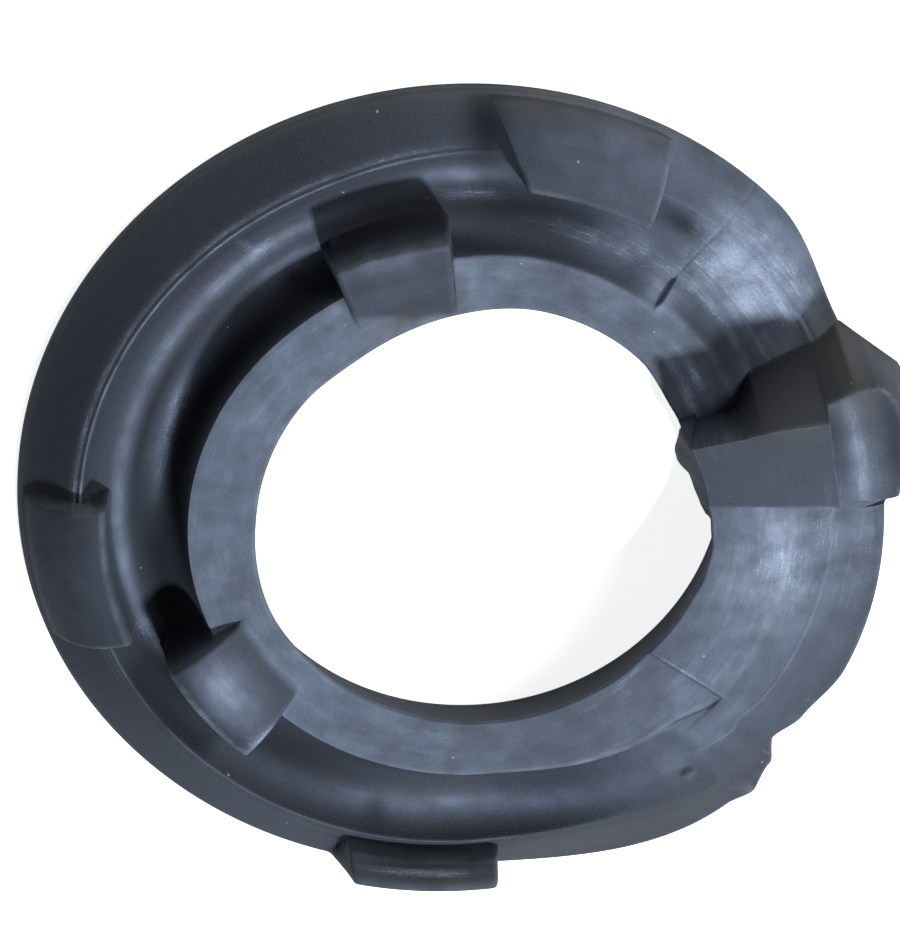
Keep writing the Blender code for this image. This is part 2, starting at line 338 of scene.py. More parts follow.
# (band, (start, end) at the inner edge, the same at the outer edge, top, run-out of the end
# walls at the inner edge, the same at the outer edge), with run-outs in degrees
TABS = (
    (ON_THE_LIP, (50.5, 70.5), (52.0, 76.5), OUTER_TAB, (0.5, 1.6), (1.0, 9.5)),
    (ON_THE_LIP, (165.5, 191.0), (167.5, 189.0), LEFT_TAB, (0.5, 0.5), (1.5, 1.0)),
    (ON_THE_LIP, (243.5, 266.5), (246.0, 265.8), EDGE_TAB, (0.5, 0.5), (5.0, 0.5)),
    (ON_THE_COLLAR, (82.0, 105.8), (83.3, 104.0), UPPER_INNER_TAB, (2.4, 2.2), (1.2, 3.0)),
    (ON_THE_COLLAR, (193.0, 217.0), (196.5, 218.5), LOWER_INNER_TAB, (0.7, 0.7), (1.5, 1.5)),
)
SIDE_WALL_SLOPE = 9.0              # rise over run of a tab's inner and outer wall
TAB_ROUND = 0.0010
TAB_FILLET = 0.0010


def wall_drop(inset, slope):
    """How far a tab's top has dropped near a wall, at a distance in from the wall's edge."""
    round_here = TAB_ROUND * np.clip(slope / 3.0, 0.0, 1.0)
    return slope * np.maximum(-inset, 0.0) + rounding(inset, round_here)


def tab_height(angle, radius, tab):
    band, inner_angles, outer_angles, profile, inner_run, outer_run = tab
    radii = np.array([blend(band[0], band[1], share) for share, height in profile])
    heights = np.array([height for share, height in profile])
    first, last = radii[0], radii[-1]
    curve = np.polyfit(1000.0 * (radii - first), heights, 3)
    held = np.clip(radius, first, last)
    top = np.polyval(curve, 1000.0 * (held - first))
    across = (held - first) / (last - first)
    arc = np.radians(1.0) * held       # length of one degree here
    drop = wall_drop(radius - first, SIDE_WALL_SLOPE) + wall_drop(last - radius, SIDE_WALL_SLOPE)
    for side, sign in ((0, 1.0), (1, -1.0)):
        end_angle = blend(inner_angles[side], outer_angles[side], across)
        run = blend(inner_run[side], outer_run[side], across)
        drop = drop + wall_drop(sign * (angle - end_angle) * arc, top / (run * arc))
    return top - drop


for tab in TABS:
    band, inner_angles, outer_angles, profile = tab[:4]
    middle = 0.5 * sum(inner_angles)
    centre = blend(band[0], band[1], 0.5 * (profile[0][0] + profile[-1][0]))
    print("tab at", middle, "degrees:", in_mm(tab_height(middle, centre, tab)), "mm high")

# %% [markdown]
# ## The stop block and its lug
# The wire's end rests against the block. Its wall towards the start sector is a broad
# slanting face, and its far side is steep. Outboard of it a lower lug, round like a barrel,
# reaches past the foot of the ring. The photograph cuts the lug's end off, so it gets a plain
# one. Both are given by lines along X, read off at each x.

# %% Height of the block and the lug
BLOCK_HEIGHT = 0.0210
BLOCK_START_X = 0.0300
BLOCK_OUTER_X = 0.0630
BLOCK_ROUND = 0.0007
BLOCK_OUTER_ROUND = 0.0006
WALLS_ROUND = 0.0008
# (x, y where the wall towards the start sector reaches the block's height, y at its foot)
START_WALL = (
    (0.0395, 0.0111, 0.0113), (0.0480, 0.0112, 0.0114), (0.0495, 0.0113, 0.0118),
    (0.0508, 0.0115, 0.0134), (0.0522, 0.0115, 0.0147), (0.0582, 0.0114, 0.0163),
    (0.0630, 0.0113, 0.0176), (0.0665, 0.0130, 0.0185), (0.0685, 0.0137, 0.0190),
    (0.0724, 0.0139, 0.0163), (0.0745, 0.0131, 0.0139), (0.0785, 0.0085, 0.0093),
)
# (x, y of the far side's top edge, slope below it)
FAR_WALL = (
    (0.0409, -0.0002, 2.2), (0.0450, -0.0011, 3.0), (0.0622, -0.0046, 9.0),
    (0.0645, -0.0058, 9.0), (0.0758, -0.0075, 9.0),
)
LUG_HEIGHT = 0.0178
LUG_START_X = 0.0560
LUG_END_X = 0.0766
LUG_END_Y = 0.0030                 # the rounded end reaches furthest here
LUG_END_CURVE = 30.0
LUG_END_SLOPE = 4.6
LUG_ROUND = 0.0016
LUG_FILLET = 0.0003
BARREL_X = 0.0680
BARREL_HALF_LENGTH = 0.0060
BARREL_DROP = 0.0012               # how much lower the barrel is, half its length from its middle
LUG_FOOT = ((0.0640, 0.0160), (0.0695, 0.0192), (0.0785, 0.0095), (0.0808, 0.0020), (0.0795, -0.0092))
NO_BLOCK = -0.01                   # a height below everything
UNDERCUT = 0.0022
UNDERCUT_HEIGHT = 0.0148
UNDERCUT_START_X = (0.0200, 0.0350)
UNDERCUT_END_X = (0.0480, 0.0525)
UNDERCUT_Y = (0.0060, 0.0135, 0.0075)


def under_walls(x, y, height):
    """The slanting wall and the steep far side, below a given top height."""
    top_y = looked_up(x, START_WALL, 1)
    foot_y = looked_up(x, START_WALL, 2)
    slope = (BLOCK_HEIGHT - START_HEIGHT) / (foot_y - top_y)
    start_wall = START_HEIGHT + slope * (foot_y - y)
    far_wall = height + looked_up(x, FAR_WALL, 2) * (y - looked_up(x, FAR_WALL, 1))
    return soft_min(start_wall, far_wall, WALLS_ROUND)


def stop_height(x, y):
    block = soft_min(under_walls(x, y, BLOCK_HEIGHT), BLOCK_HEIGHT, BLOCK_ROUND)
    outer_wall = BLOCK_HEIGHT + SIDE_WALL_SLOPE * (BLOCK_OUTER_X - x)
    block = soft_min(block, outer_wall, BLOCK_OUTER_ROUND)
    barrel = LUG_HEIGHT - BARREL_DROP * ((x - BARREL_X) / BARREL_HALF_LENGTH) ** 2
    end_x = LUG_END_X - LUG_END_CURVE * (y - LUG_END_Y) ** 2
    lug_top = soft_min(barrel, LUG_HEIGHT - LUG_END_SLOPE * (x - end_x), LUG_ROUND)
    lug = soft_min(under_walls(x, y, LUG_HEIGHT), lug_top, LUG_ROUND)
    stop = soft_max(block, np.where(x > LUG_START_X, lug, NO_BLOCK), LUG_FILLET)
    return np.where(x > BLOCK_START_X, stop, NO_BLOCK)


def undercut(x, y, z):
    """How far the inner half of the block's wall leans back below its top edge."""
    along_x = rising(x, *UNDERCUT_START_X) * (1.0 - rising(x, *UNDERCUT_END_X))
    along_y = within(y, *UNDERCUT_Y)
    below_top = np.clip((BLOCK_HEIGHT - z) / UNDERCUT_HEIGHT, 0.0, 1.0)
    return UNDERCUT * along_x * along_y * below_top


print("block and lug, mm:", [in_mm(stop_height(x, LUG_END_Y)) for x in (0.05, 0.068, 0.0785)])

# %% [markdown]
# ## Where the mesh lines run
# A grid of stations round the ring and rows across it carries the heights. Rows follow the
# rim, the collar and the lip. Stations are lines across the ring that lean where the ends of
# the tabs and the sides of the block lean, because an edge looks clean only if a mesh line
# runs along it. Around those edges the stations crowd together.

# %% Stations and rows
SEAM_ANGLE = 4.0                   # the low and the high end meet here, under the block
# (place, angle at the hole, angle at the lip, angle at the foot) of the leaning lines
LEANING = (
    (4.0, 9.0, 5.0, 2.6), (11.5, 15.6, 10.2, 10.3), (14.5, 16.0, 15.7, 15.3),
    (26.0, 26.0, 26.0, 26.0), (38.5, 38.5, 38.5, 38.5), (39.4, 39.4, 39.4, 39.4),
    (50.0, 48.5, 50.7, 52.1), (72.0, 66.0, 71.2, 77.1), (84.0, 81.4, 84.0, 85.5),
    (105.0, 106.6, 103.2, 102.5), (125.0, 125.0, 125.0, 125.0), (166.5, 166.5, 165.9, 167.7),
    (190.0, 187.0, 190.6, 188.8), (195.5, 192.4, 197.9, 196.5), (218.0, 216.8, 219.1, 220.0),
    (245.0, 243.5, 241.9, 246.2), (266.0, 266.5, 267.0, 265.8), (285.0, 285.0, 285.0, 285.0),
    (309.0, 309.0, 309.0, 309.0), (312.5, 312.5, 312.5, 312.5), (340.0, 340.0, 340.0, 340.0),
    (356.5, 359.7, 355.8, 355.8), (364.0, 369.0, 365.0, 362.6),
)
LEAN_RADII = (0.0380, 0.0625, 0.0750)  # of the hole, the lip and the foot
CROWDED = (
    11.5, 14.2, 39.0, 50.0, 72.0, 84.0, 105.0, 166.5, 190.0, 195.5, 218.0, 245.0, 266.0,
    299.6, 310.5, 313.5, 356.5,
)
CROWD_REACH = 2.0
STATION_STEP = 0.62
CROWDED_STEP = 0.22
RIM_INSETS = (0.0, 0.00008, 0.00025, 0.0005, 0.0008, 0.0011)
COLLAR_SHARES = np.linspace(0.0, 1.0, 20)[1:]
GROOVE_SHARES = np.concatenate((
    (-0.985, -0.965, -0.94), np.linspace(-0.91, 0.91, 42), (0.94, 0.965, 0.985, 1.0),
))
LIP_DISTANCES = np.linspace(0.00015, LIP_WIDTH, 8)
FLANK_SHARES = np.linspace(0.0, 1.0, 19)[1:]


def station_places():
    places = [SEAM_ANGLE]
    while places[-1] < SEAM_ANGLE + 360.0 - STATION_STEP:
        near = min(abs(places[-1] - crowd) for crowd in CROWDED)
        places.append(places[-1] + (CROWDED_STEP if near < CROWD_REACH else STATION_STEP))
    return np.array(places[:-1])


def lean(place, radius):
    """Angle of a station at a radius."""
    return np.interp(radius, LEAN_RADII, [looked_up(place, LEANING, column) for column in (1, 2, 3)])


def across_rows():
    """Each row's radius as shares of the rim, collar, lip and top edge, plus a distance."""
    last_inset = RIM_INSETS[-1]
    rows = [(1.0, 0.0, 0.0, 0.0, inset) for inset in RIM_INSETS]
    rows += [(1.0 - t, t, 0.0, 0.0, last_inset * (1.0 - t)) for t in COLLAR_SHARES]
    rows += [(0.0, 0.5 - 0.5 * t, 0.5 + 0.5 * t, 0.0, 0.0) for t in GROOVE_SHARES]
    rows += [(0.0, 0.0, 1.0, 0.0, distance) for distance in LIP_DISTANCES]
    rows += [(0.0, 0.0, 1.0 - t, t, LIP_WIDTH * (1.0 - t) - last_inset * t) for t in FLANK_SHARES]
    rows += [(0.0, 0.0, 0.0, 1.0, -inset) for inset in RIM_INSETS[-2::-1]]
    return np.array(rows)


ROWS = across_rows()
places = station_places()
print(len(places), "stations of", len(ROWS), "rows across the top")

# %% [markdown]
# ## The mesh
# Each station goes once round the ring's section: across the top from the rim to the edge,
# down the outer wall, back under the flat base and up the wall of the hole. Joining each
# station to the next gives one closed skin, which a 3-D printer or a physics engine could
# use as well as a renderer. The rim and the edge get a rounding of their own, because there
# the landscape of heights ends.

# %% Points of one station
MEAN_RADIUS = 0.056
HOLE_FLARE = 0.0053                # the hole is this much wider at the base
RIM_ROUND = 0.0005
EDGE_ROUND = 0.0008
STOP_FILLET = 0.0006
LOWEST_TOP = 0.0008
SEAM_COLLAR = 0.0500               # the collar's row where the low and the high end join
SEAM_LIP_X = BLOCK_OUTER_X - 0.0001    # the lip's row there, straight along the block's outer wall
SEAM_FADE = (10.5, 16.0)           # degrees from the seam over which the rows return to their lines
BULGE_SPAN = (-6.5, 14.5)
# (angle at the rim, how far the block's inner end bulges into the hole)
BULGE = (
    (-8.0, 0.0), (-6.5, 0.0010), (-1.5, 0.0012), (3.8, 0.0017), (7.8, 0.0028), (11.5, 0.0026),
    (14.5, 0.0008), (16.0, 0.0),
)
BULGE_Z = 0.0090
BULGE_FADE = 0.0100
HOLE_WALL_SHARES = np.linspace(0.0, 1.0, 15)[:-1]
OUTER_WALL_SHARES = np.linspace(0.0, 1.0, 7)[1:]


def signed(angle):
    return angle if angle < 180.0 else angle - 360.0


def lug_reach(angle):
    """How far out the lug's foot is along one direction, or 0 beside it."""
    turn = math.radians(signed(angle))
    cosine, sine = math.cos(turn), math.sin(turn)
    found = 0.0
    for (x1, y1), (x2, y2) in zip(LUG_FOOT, LUG_FOOT[1:]):
        share = (cosine * y1 - sine * x1) / (cosine * (y1 - y2) - sine * (x1 - x2))
        x, y = blend(x1, x2, share), blend(y1, y2, share)
        if 0.0 <= share <= 1.0 and x * cosine + y * sine > 0.0:
            found = max(found, math.hypot(x, y))
    return found


def top_points(place):
    """Angle, radius and height of the rows across the top at one station."""
    to_seam = min(place - SEAM_ANGLE, SEAM_ANGLE + 360.0 - place)
    at_seam = 1.0 - float(rising(to_seam, *SEAM_FADE))
    lug = lug_reach(lean(place, BASE_RADIUS))
    radius = np.full(len(ROWS), MEAN_RADIUS)
    for repeat in range(4):            # angle and radius depend on each other
        angle = lean(place, radius)
        rim, collar, lip, edge, foot = ring_lines(angle)
        collar = blend(collar, SEAM_COLLAR, at_seam)
        lip = blend(lip, SEAM_LIP_X / np.cos(np.radians(angle)), at_seam)
        ring_edge = edge
        edge = np.maximum(edge, lug)
        foot = np.maximum(foot, lug)
        radius = ROWS[:, 0] * rim + ROWS[:, 1] * collar + ROWS[:, 2] * lip + ROWS[:, 3] * edge
        radius = radius + ROWS[:, 4]
    height = bare_ring(angle, radius) - SIDE_WALL_SLOPE * np.maximum(radius - ring_edge, 0.0)
    for tab in TABS:
        height = soft_max(height, tab_height(angle, radius, tab), TAB_FILLET)
    turn = np.radians(angle)
    height = soft_max(height, stop_height(radius * np.cos(turn), radius * np.sin(turn)), STOP_FILLET)
    height = np.maximum(height, LOWEST_TOP)
    height = height - rounding(radius - rim, np.minimum(RIM_ROUND, 0.5 * height))
    height = height - rounding(edge - radius, np.minimum(EDGE_ROUND, 0.5 * height))
    return angle, radius, height, foot[-1]


def station_points(place):
    angle, radius, height, foot = top_points(place)
    wall_radius = blend(radius[-1], foot, OUTER_WALL_SHARES)
    wall_height = height[-1] * (1.0 - OUTER_WALL_SHARES)

    rim_angle = signed(angle[0])
    bottom = float(reach(angle[0], HOLE_RADIUS + HOLE_FLARE, HOLE_OFFSET))
    hole_height = height[0] * HOLE_WALL_SHARES
    plain_wall = blend(bottom, radius[0], HOLE_WALL_SHARES)
    block_wall = blend(bottom, radius[0], np.clip(hole_height / (0.8 * BULGE_Z), 0.0, 1.0))
    below_top = np.clip((BLOCK_HEIGHT - hole_height) / BULGE_FADE, 0.0, 1.0)
    bulge = looked_up(rim_angle, BULGE, 1) * soft_min(1.0, (hole_height / BULGE_Z) ** 2, 0.3) * below_top
    hole_radius = blend(plain_wall, block_wall, within(rim_angle, *BULGE_SPAN, 1.5)) - bulge

    radii = np.concatenate((radius, wall_radius, [blend(foot, bottom, 0.5)], hole_radius))
    heights = np.concatenate((height, wall_height, [0.0], hole_height))
    outer_angles = np.full(len(OUTER_WALL_SHARES) + 1, angle[-1])
    angles = np.concatenate((angle, outer_angles, np.full(len(HOLE_WALL_SHARES), angle[0])))
    return angles, radii, heights


example = station_points(120.0)
print("one station has", len(example[0]), "points and is", in_mm(example[2].max()), "mm high")

# %% Join the stations
section_points = [station_points(place) for place in places]
angles = np.array([points[0] for points in section_points])
radii = np.array([points[1] for points in section_points])
heights = np.array([points[2] for points in section_points])
turns = np.radians(angles)
flat_x = radii * np.cos(turns)
flat_y = radii * np.sin(turns)
flat_y = flat_y - undercut(flat_x, flat_y, heights)
coordinates = np.stack((RING_CENTRE_X + flat_x, flat_y, heights), axis=-1)
station_count, point_count = angles.shape
index = np.arange(station_count * point_count).reshape(station_count, point_count)
after = np.roll(index, -1, axis=0)
beside = np.roll(index, -1, axis=1)
faces = np.stack((index, beside, np.roll(beside, -1, axis=0), after), axis=-1).reshape(-1, 4)

SHARP_ANGLE = 50.0
ring_mesh = bpy.data.meshes.new("insulator_ring")
ring_mesh.from_pydata(coordinates.reshape(-1, 3).tolist(), [], faces.tolist())
ring_mesh.validate()
ring_mesh.update()
ring_mesh.shade_smooth()
ring_mesh.set_sharp_from_angle(angle=math.radians(SHARP_ANGLE))
ring = bpy.data.objects.new("insulator_ring", ring_mesh)
bpy.context.scene.collection.objects.link(ring)
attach(ring, "root")
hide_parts("spring_insulator")
print(len(ring_mesh.polygons), "faces; size, mm:", [in_mm(side) for side in ring.dimensions])

# %% [markdown]
# ## Where the rubber has been handled, and where light and shade are painted
# The real ring isn't one colour. Where hands, the press and other parts have rubbed it, the
# rubber has a pale, bluish bloom, and a few places are scuffed almost white. Some bloom patches
# also paint light into places in shade, and some scuff patches are painted highlights. Near its
# upper edge it is a little brown. Painted shade darkens the groove's depths, the tabs' shadows
# and walls that face away from the lamps, and a painted highlight runs along convex edges. Each
# place is a soft patch given by its angle, its radius and its size. The patches go on the mesh as
# attributes, one number for each vertex, so they stay on the part from every side.

# %% Patches of bloom and painted light, scuffs and painted highlights, painted shade and brown
# (angle, radius in mm, half-length in degrees, half-width in mm, strength)
# Scuff patches are partly real scuffs and partly painted highlights, such as the lug's barrel top and
# bright spots in shaded parts of the groove.
SCUFF_AND_HIGHLIGHT_PATCHES = (
    (31, 55.4, 8, 0.8, 1.00), (27, 64.8, 7, 0.5, 0.70), (33, 60.5, 5, 0.7, 0.50),
    (45, 55.2, 4.5, 1.5, 0.50), (217.6, 50.0, 1.0, 4.5, 0.90), (33, 64.0, 7, 4.5, 0.75),
    (24, 62.5, 7, 3.0, 0.60), (29, 69.0, 9, 2.2, 0.75), (37, 57.5, 3, 3.5, 0.80),
    (344, 53.0, 8, 3.6, 0.75), (342, 58.5, 6, 3.0, 0.60), (352, 60.5, 5, 4.0, 0.35),
    (336, 58.0, 9, 4.0, 0.20), (346, 67.0, 12, 4.0, 0.30), (113, 58.6, 5, 0.8, 0.90),
    (122, 58.0, 12, 0.9, 0.40), (147, 51.7, 7, 0.8, 0.90), (79, 57.2, 6, 1.0, 0.40),
    (56, 53.5, 9, 1.3, 0.45), (78, 43.2, 1.2, 3.0, 0.40), (255, 69.3, 8, 0.4, 0.95),
    (207, 55.3, 9, 0.6, 0.80), (3, 67.8, 8, 0.9, 0.60), (358, 61.4, 3, 0.8, 0.45),
    (192, 58.2, 4, 1.0, 0.70), (99, 52.6, 7, 0.8, 0.25), (21, 44.3, 9, 0.7, 0.80),
    (24, 46.8, 9, 0.7, 0.70), (299.8, 64.0, 0.9, 0.5, 0.90), (283, 50.2, 18, 0.3, 0.30),
    (314.6, 48.5, 0.30, 6.5, 0.90), (305.5, 40.6, 5, 0.35, 0.60), (290, 40.9, 8, 0.30, 0.25),
    (152, 51.3, 10, 0.9, 0.85), (112, 53.2, 6, 1.4, 0.60), (30, 59.5, 7, 1.5, 0.35),
    (2, 70.3, 5, 1.0, 0.15), (116, 60.4, 0.35, 2.2, 0.45),
)
# Bloom patches are partly the rubber's real bloom and partly painted light: some lighten places in shade,
# and the one on the lug paints its highlight.
BLOOM_AND_LIGHT_PATCHES = (
    (345, 56.0, 22, 13.0, 0.58), (310, 57.0, 20, 10.0, 0.30), (28, 62.0, 14, 8.0, 1.00),
    (33, 70.0, 8, 6.0, 0.60), (206, 51.0, 8, 3.0, 0.90), (268, 60.0, 30, 2.4, 0.30),
    (130, 58.0, 34, 1.3, 0.55), (149, 51.8, 15, 1.3, 1.00), (176, 57.8, 16, 1.2, 0.80),
    (80, 60.8, 7, 1.6, 0.75), (112, 53.5, 6, 1.8, 0.95), (38, 51.5, 4, 2.5, 0.60),
    (58, 71.0, 14, 6.0, 0.55), (2, 68.0, 10, 1.7, 0.48), (93, 49.5, 9, 1.6, 0.15),
    (52, 55.0, 7, 5.0, 0.35), (250, 60.0, 30, 2.2, 0.25), (219, 50.5, 2.5, 5.0, 0.60),
    (92, 44.0, 9, 2.5, 0.10), (178, 67.0, 10, 4.0, 0.20), (205, 47.5, 9, 4.0, 0.50),
    (94, 51.9, 10, 1.4, 0.45), (94, 45.0, 9, 3.0, 0.10), (40, 50.5, 5, 2.5, 0.40),
)
COLLAR_BLOOM_AND_LIGHT = ((4, 0.30), (60, 0.45), (130, 0.52), (220, 0.50), (300, 0.22))
# Painted shade: these patches darken the groove's depths, the tabs' shadows, the left flank and walls
# that face away from the lamps.
PAINTED_SHADE_PATCHES = (
    (180, 51.7, 15, 3.2, 1.00), (140, 48.6, 34, 1.5, 0.90), (150, 55.2, 20, 0.9, 0.60),
    (96, 54.5, 14, 3.4, 0.60), (68, 54.6, 16, 3.2, 1.00), (77.5, 69.0, 3.0, 6.0, 1.00),
    (2, 74.5, 9, 2.2, 0.70), (3, 64.6, 9, 0.9, 0.50), (43.5, 62.8, 5.0, 2.0, 1.00),
    (200, 58.0, 12, 4.0, 1.00), (228, 56.5, 16, 5.0, 0.80), (165, 69.0, 40, 7.0, 0.85),
    (255, 67.2, 12, 2.2, 1.00), (255, 71.0, 13, 3.0, 0.45), (84, 57.5, 14, 2.0, 0.50),
    (118, 62.6, 26, 1.2, 0.50), (22, 54.0, 8, 3.2, 0.75), (28, 51.0, 9, 1.6, 0.50),
    (28, 58.3, 6, 0.6, 0.45), (30, 67.0, 7, 0.6, 0.40), (247, 61.5, 2.2, 2.6, 0.60),
    (299.3, 62.8, 0.8, 0.7, 0.90), (92, 43.0, 9, 2.5, 0.30), (262, 52.4, 24, 1.0, 0.60),
)
BROWNS = (
    (70, 74.0, 20, 2.2, 0.80), (105, 74.6, 22, 1.0, 0.60), (14, 70.0, 5, 5.0, 0.90),
    (13, 60.0, 4, 8.0, 0.60), (95, 39.5, 12, 1.6, 0.60), (170, 74.6, 30, 0.8, 0.40),
    (262, 70.5, 6, 1.5, 0.30), (282, 70.5, 22, 4.0, 0.55),
)
NEAR_BLOCK_X = (0.030, 0.035)
NEAR_BLOCK_Y = (-0.012, 0.020, 0.003)
BLOCK_TOP_Z = (0.0182, 0.0190)
BLOCK_BLOOM_AND_LIGHT = 0.25                 # share of the bloom and painted light that the block's top keeps
BLOCK_SCUFF_AND_HIGHLIGHT = 0.30
BARE_FLANK_SPAN = (240.0, 309.0, 4.0)
EDGE_GAIN = 6.0
LIP_LINE_DISTANCES = (0.0001, 0.0011)  # two pale lines run along the lip, outside its edge
LIP_LINE_SPAN = (92.0, 162.0, 16.0)
LIP_LINE_WIDTH = 0.0002
LIP_LINE_STRENGTH = 0.55
COUNTED_FROM = 0.2                 # a vertex counts as covered above this


def patches_at(angle, radius, patches):
    total = np.zeros_like(angle)
    for centre, middle, half_length, half_width, strength in patches:
        apart = (angle - centre + 180.0) % 360.0 - 180.0
        total += strength * bell(apart, 0.0, half_length) * bell(1000.0 * radius, middle, half_width)
    return np.clip(total, 0.0, 1.0)


def vertex_normals():
    normals = np.empty(3 * len(ring_mesh.vertices))
    ring_mesh.vertices.foreach_get("normal", normals)
    return normals.reshape(coordinates.shape)


def edge_sharpness(normals):
    """How far each vertex stands out from its neighbours, which is large on a convex edge."""
    sum_of_neighbours = np.zeros_like(coordinates)
    for axis in (0, 1):
        sum_of_neighbours += np.roll(coordinates, 1, axis=axis) + np.roll(coordinates, -1, axis=axis)
    lift = coordinates - 0.25 * sum_of_neighbours
    size = np.linalg.norm(coordinates - np.roll(coordinates, 1, axis=1), axis=-1) + 0.0001
    return np.clip(EDGE_GAIN * (lift * normals).sum(axis=-1) / size, 0.0, 1.0)


def store(name, values):
    attribute = ring_mesh.attributes.new(name, "FLOAT", "POINT")
    attribute.data.foreach_set("value", values.astype(np.float32).ravel())
    print(name, "covers", round(100 * float((values > COUNTED_FROM).mean()), 1), "% of the vertices")


# Masks from 0 to 1 for places on the ring
on_top = np.zeros_like(radii)
on_top[:, :len(ROWS)] = 1.0
normals = vertex_normals()
collar_line, lip_line = ring_lines(angles)[1:3]
raised = rising(heights - bare_ring(angles, radii), 0.0003, 0.0010)
near_block = rising(flat_x, *NEAR_BLOCK_X) * within(flat_y, *NEAR_BLOCK_Y)
on_block = rising(heights, *BLOCK_TOP_Z) * near_block
on_wall = (1.0 - rising(normals[..., 2], 0.40, 0.80)) * near_block
on_flank = rising(radii, lip_line - 0.0004, lip_line + 0.0006) * within(angles, *BARE_FLANK_SPAN)
on_collar = (1.0 - rising(radii, collar_line - 0.0004, collar_line + 0.0008)) * (1.0 - raised)

# The block's walls and the bare flank are mostly clean of bloom and painted light, and the block's top is
# cleaner than the ring
bloom_and_light = patches_at(angles, radii, BLOOM_AND_LIGHT_PATCHES) + around(angles, COLLAR_BLOOM_AND_LIGHT) * on_collar
bloom_and_light = np.clip(bloom_and_light, 0.0, 1.0) * blend(1.0, BLOCK_BLOOM_AND_LIGHT, on_block)
bloom_and_light = bloom_and_light * (1.0 - 0.85 * on_flank) * (1.0 - 0.85 * on_wall)
lip_lines = sum(bell(radii - lip_line, distance, LIP_LINE_WIDTH) for distance in LIP_LINE_DISTANCES)
lip_lines = lip_lines * within(angles, *LIP_LINE_SPAN) * (1.0 - raised)
# Scuffs and painted highlights, with the two pale lines along the lip.
scuff_and_highlight = patches_at(angles, radii, SCUFF_AND_HIGHLIGHT_PATCHES) + LIP_LINE_STRENGTH * lip_lines
scuff_and_highlight = np.clip(scuff_and_highlight, 0.0, 1.0) * blend(1.0, BLOCK_SCUFF_AND_HIGHLIGHT, on_block) * (1.0 - on_wall)
# Stored masks: scuffs with painted highlights, bloom with painted light, painted shade, brown and the
# painted edge highlight.
store("scuff_and_highlight", scuff_and_highlight * on_top)
store("bloom_and_light", bloom_and_light * on_top)
store("painted_shade", patches_at(angles, radii, PAINTED_SHADE_PATCHES))
store("brown", patches_at(angles, radii, BROWNS))
# The edge mask is a painted highlight along convex edges, with some edge wear.
store("edge", edge_sharpness(normals) * (1.0 - 0.9 * on_wall))

# %% [markdown]
# ## Shader groups
# Four small node groups hold the effects, so each can be tuned without touching the others.
# The first turns the position into distance along the ring and across it, so that streaks can
# follow the ring. The others make rubbed streaks, the fine grain of the mould, and specks of
# dust. Apart from the first one's coordinates, they put out only masks and heights.

# %% Group: distance along and across the ring
FLOAT = "NodeSocketFloat"
VECTOR = "NodeSocketVector"


def new_group(name, inputs, outputs):
    group = bpy.data.node_groups.new(name, "ShaderNodeTree")
    for label, kind, value in inputs:
        socket = group.interface.new_socket(label, in_out="INPUT", socket_type=kind)
        if value is not None:
            socket.default_value = value
    for label, kind in outputs:
        group.interface.new_socket(label, in_out="OUTPUT", socket_type=kind)
    return group, group.nodes.new("NodeGroupInput"), group.nodes.new("NodeGroupOutput")


def add(tree, kind, **settings):
    node = tree.nodes.new(kind)
    for key, value in settings.items():
        setattr(node, key, value)
    return node


def maths(tree, operation, *values, clamp=False):
    node = add(tree, "ShaderNodeMath", operation=operation, use_clamp=clamp)
    for socket, value in zip(node.inputs, values):
        if isinstance(value, (int, float)):
            socket.default_value = value
        else:
            tree.links.new(value, socket)
    return node.outputs[0]


def ring_coordinates_group():
    group, given, out = new_group(
        "ring_coordinates",
        [("Centre X", FLOAT, RING_CENTRE_X), ("Mean Radius", FLOAT, MEAN_RADIUS)],
        [("Along Across Up", VECTOR), ("Position", VECTOR)])
    place = add(group, "ShaderNodeTexCoord")
    split = add(group, "ShaderNodeSeparateXYZ")
    group.links.new(place.outputs["Object"], split.inputs[0])
    x = maths(group, "SUBTRACT", split.outputs[0], given.outputs["Centre X"])
    y = split.outputs[1]
    squares = maths(group, "ADD", maths(group, "MULTIPLY", x, x), maths(group, "MULTIPLY", y, y))
    angle = maths(group, "ARCTAN2", y, x)
    join = add(group, "ShaderNodeCombineXYZ")
    group.links.new(maths(group, "MULTIPLY", angle, given.outputs["Mean Radius"]), join.inputs[0])
    group.links.new(maths(group, "SQRT", squares), join.inputs[1])
    group.links.new(split.outputs[2], join.inputs[2])
    group.links.new(join.outputs[0], out.inputs["Along Across Up"])
    group.links.new(place.outputs["Object"], out.inputs["Position"])
    return group


ring_coordinates = ring_coordinates_group()
print("made", ring_coordinates.name)

